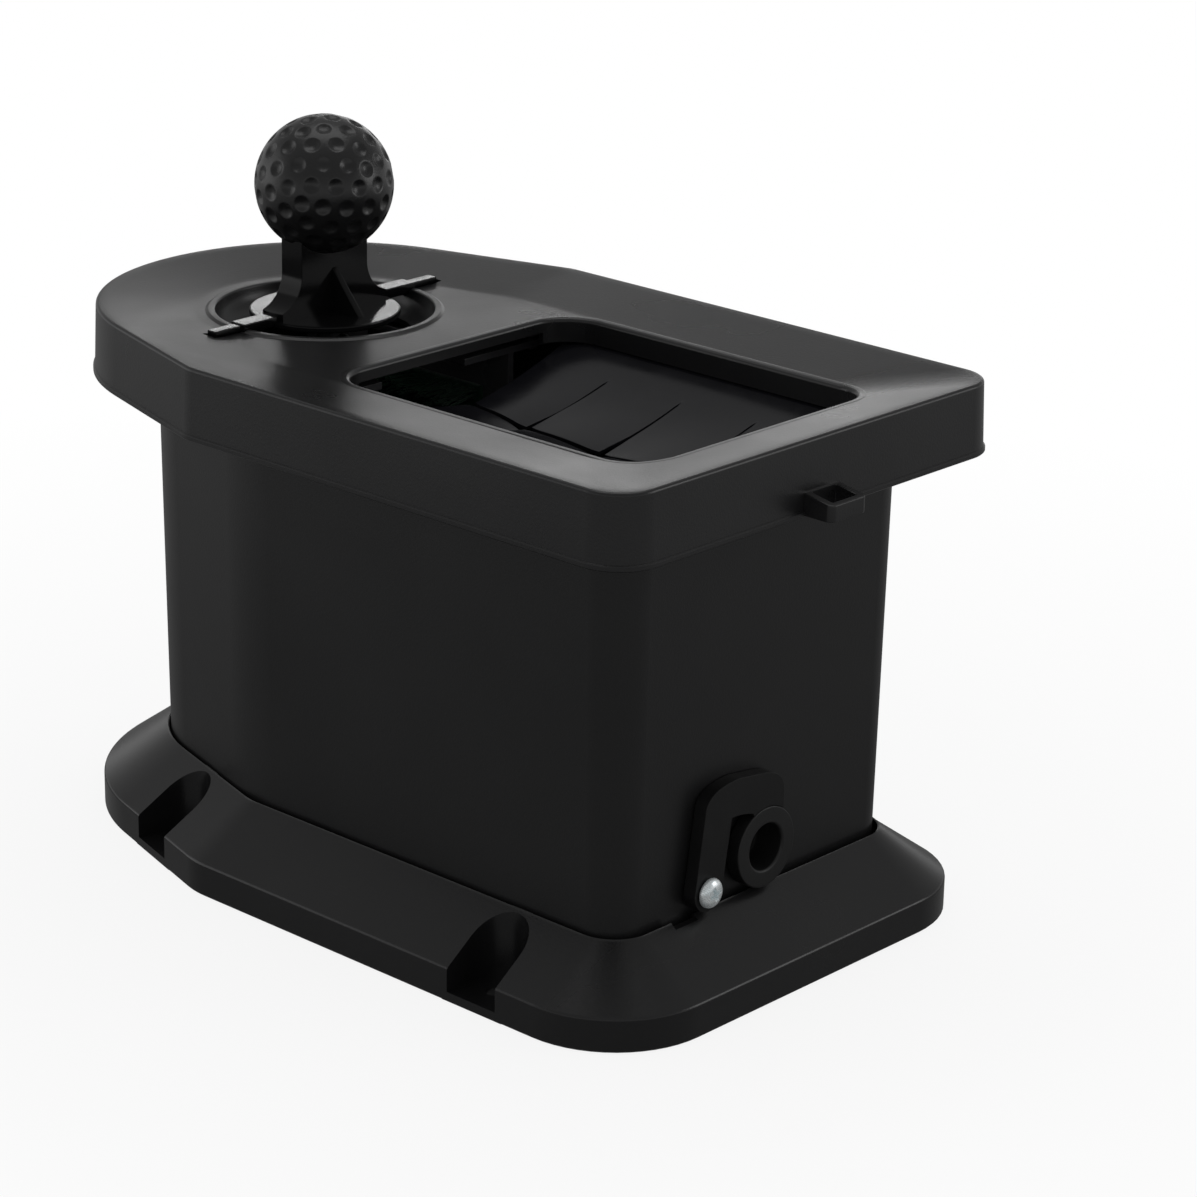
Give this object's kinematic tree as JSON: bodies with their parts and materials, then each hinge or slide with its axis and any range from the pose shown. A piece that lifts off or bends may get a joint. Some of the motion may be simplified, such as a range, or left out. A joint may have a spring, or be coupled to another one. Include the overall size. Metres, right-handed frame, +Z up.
{
  "type": "golf ball washer",
  "caption": "Black plastic golf ball washer: rocking ball-knob handle with a ball cradle between brushes in a water tank, dished lid with a large opening, flared screw-down base and drain plug.",
  "frame": {"origin": "centre of the overall length and width, on the plane that the base stands on", "axes": "+X towards the square front end with the drain plug and loop, +Y across towards the far side, +Z up"},
  "size_m": [0.2794, 0.165, 0.2209],
  "materials": {
    "black_plastic": "satin moulded",
    "knob_plastic": "fine matte",
    "inner_plastic": "satin moulded",
    "black_rubber": "dull",
    "flap_rubber": "glossy sheet",
    "green_nylon": "bristle",
    "zinc": "bright zinc",
    "steel": "plain"
  },
  "bodies": {
    "housing": {"base_mount": "black_plastic", "tank": "black_plastic", "lid": "black_plastic", "tank_screw_1": "steel", "tank_screw_2": "steel", "tank_screw_3": "steel", "tank_screw_4": "steel", "near_splash_flap": "flap_rubber", "far_splash_flap": "flap_rubber", "near_flap_strip": "inner_plastic", "far_flap_strip": "inner_plastic", "flap_screw_1": "steel", "flap_screw_2": "steel", "flap_screw_3": "steel", "flap_screw_4": "steel", "flap_screw_5": "steel", "flap_screw_6": "steel", "flap_screw_7": "steel", "flap_screw_8": "steel", "near_brush_carrier": "inner_plastic", "far_brush_carrier": "inner_plastic", "carrier_screw_1": "steel", "carrier_screw_2": "steel", "carrier_screw_3": "steel", "carrier_screw_4": "steel", "near_ball_bristles": "green_nylon", "far_ball_bristles": "green_nylon", "club_brush": "green_nylon", "plug_strap": "black_rubber", "strap_screw": "zinc"},
    "rocker": {"ball_knob": "knob_plastic", "handle_yoke": "black_plastic", "ball_paddle": "inner_plastic", "paddle_screw_1": "steel", "paddle_screw_2": "steel"},
    "plug": {"drain_plug": "black_rubber"}
  },
  "joints": [
    {"name": "handle_rock", "type": "hinge", "parent": "housing", "child": "rocker", "pos_m": [-0.0687, 0, 0.1617], "axis": [0, 1, 0], "range_deg": [-45, 12]},
    {"name": "drain_plug_pull", "type": "slide", "parent": "housing", "child": "plug", "axis": [1, 0, 0], "range_m": [0, 0.014]}
  ]
}
